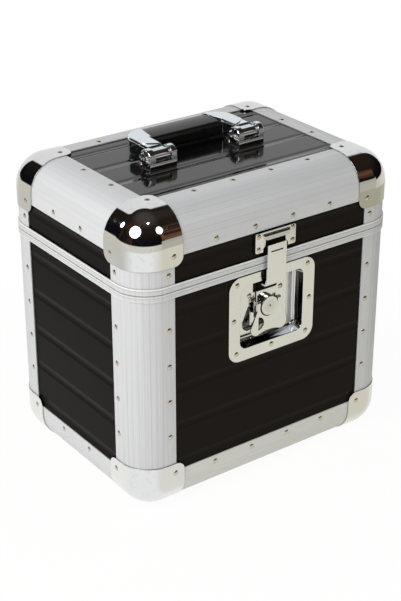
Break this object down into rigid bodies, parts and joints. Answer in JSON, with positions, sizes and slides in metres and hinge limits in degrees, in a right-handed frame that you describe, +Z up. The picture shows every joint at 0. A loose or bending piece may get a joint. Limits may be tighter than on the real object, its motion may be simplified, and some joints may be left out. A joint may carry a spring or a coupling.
{
  "type": "record carrying case",
  "caption": "Upright flight-style case for twelve-inch records, with ribbed aluminium edges, chrome ball corners, a deep hinged lid, a recessed butterfly catch and a folding handle.",
  "frame": {"origin": "on the surface the case stands on, under the centre of its outer size", "axes": "+X to the right as seen from the front, +Y from the front to the hinges, +Z up"},
  "size_m": [0.3646, 0.2796, 0.3788],
  "materials": {
    "black_laminate": "black laminate on plywood, satin",
    "ribbed_aluminium": "extruded with fine lengthwise ribs, anodised",
    "chromed_steel": "polished chrome plate on pressed steel",
    "black_foam": "closed-cell foam board",
    "plated_rivets": "nickel-plated, slightly dull",
    "black_grip": "moulded black plastic, semi-gloss",
    "chromed_zinc": "chrome plate on die-cast zinc",
    "bright_nickel": "bright nickel plate on pressed steel",
    "zinc_plated_steel": "zinc-plated sheet",
    "plain_steel": "bright turned or sheet steel"
  },
  "bodies": {
    "case_base": {"base_floor_panel": "black_laminate", "base_front_panel": "black_laminate", "base_back_panel": "black_laminate", "base_left_panel": "black_laminate", "base_right_panel": "black_laminate", "base_upright_front_left": "ribbed_aluminium", "base_upright_front_right": "ribbed_aluminium", "base_upright_back_left": "ribbed_aluminium", "base_upright_back_right": "ribbed_aluminium", "base_edge_profile_front": "ribbed_aluminium", "base_edge_profile_back": "ribbed_aluminium", "base_edge_profile_left": "ribbed_aluminium", "base_edge_profile_right": "ribbed_aluminium", "base_corner_front_left": "chromed_steel", "base_corner_front_right": "chromed_steel", "base_corner_back_left": "chromed_steel", "base_corner_back_right": "chromed_steel", "base_rim_profile": "ribbed_aluminium", "base_lining": "black_foam", "base_rivets": "plated_rivets", "latch_dish": "bright_nickel", "latch_dish_rivets": "plated_rivets", "latch_bush": "plain_steel", "hinge_leaf_base_left": "zinc_plated_steel", "hinge_leaf_base_right": "zinc_plated_steel", "hinge_pins": "plain_steel"},
    "lid": {"lid_top_panel": "black_laminate", "lid_front_panel": "black_laminate", "lid_back_panel": "black_laminate", "lid_left_panel": "black_laminate", "lid_right_panel": "black_laminate", "lid_upright_stubs": "ribbed_aluminium", "lid_edge_profile_front": "ribbed_aluminium", "lid_edge_profile_back": "ribbed_aluminium", "lid_edge_profile_left": "ribbed_aluminium", "lid_edge_profile_right": "ribbed_aluminium", "lid_corner_front_left": "chromed_steel", "lid_corner_front_right": "chromed_steel", "lid_corner_back_left": "chromed_steel", "lid_corner_back_right": "chromed_steel", "lid_rim_profile": "ribbed_aluminium", "lid_lining": "black_foam", "lid_rivets": "plated_rivets", "keeper_plate": "bright_nickel", "keeper_rivets": "plated_rivets", "hinge_leaf_lid_left": "zinc_plated_steel", "hinge_leaf_lid_right": "zinc_plated_steel", "handle_bracket_left": "chromed_zinc", "handle_bracket_right": "chromed_zinc", "handle_pivot_pins": "plain_steel", "handle_backing_plates": "plain_steel", "handle_screws": "plated_rivets"},
    "handle": {"handle_arm_left": "chromed_zinc", "handle_arm_right": "chromed_zinc", "handle_grip": "black_grip", "handle_grip_rod": "plain_steel"},
    "latch_cam_body": {"latch_cam": "bright_nickel", "latch_wing_pin": "plain_steel"},
    "latch_wing_body": {"latch_wing": "bright_nickel"},
    "latch_hook_body": {"latch_strap": "bright_nickel"}
  },
  "joints": [
    {"name": "lid_hinge", "type": "hinge", "parent": "case_base", "child": "lid", "pos_m": [0, 0.1373, 0.2721], "axis": [-1, 0, 0], "range_deg": [0, 100]},
    {"name": "handle_fold", "type": "hinge", "parent": "lid", "child": "handle", "pos_m": [-0.0025, -0.0075, 0.3684], "axis": [1, 0, 0], "range_deg": [0, 90]},
    {"name": "cam_turn", "type": "hinge", "parent": "case_base", "child": "latch_cam_body", "pos_m": [0, -0.125, 0.2138], "axis": [0, 1, 0], "range_deg": [0, 90]},
    {"name": "wing_fold", "type": "hinge", "parent": "latch_cam_body", "child": "latch_wing_body", "pos_m": [0, -0.125, 0.2188], "axis": [-1, 0, 0], "range_deg": [0, 90]},
    {"name": "hook_lift", "type": "slide", "parent": "case_base", "child": "latch_hook_body", "axis": [0, 0, 1], "range_m": [0, 0.004]}
  ],
  "couplings": [
    {"joint": "hook_lift", "follows": "cam_turn", "m_per_rad": 0.0025465}
  ]
}
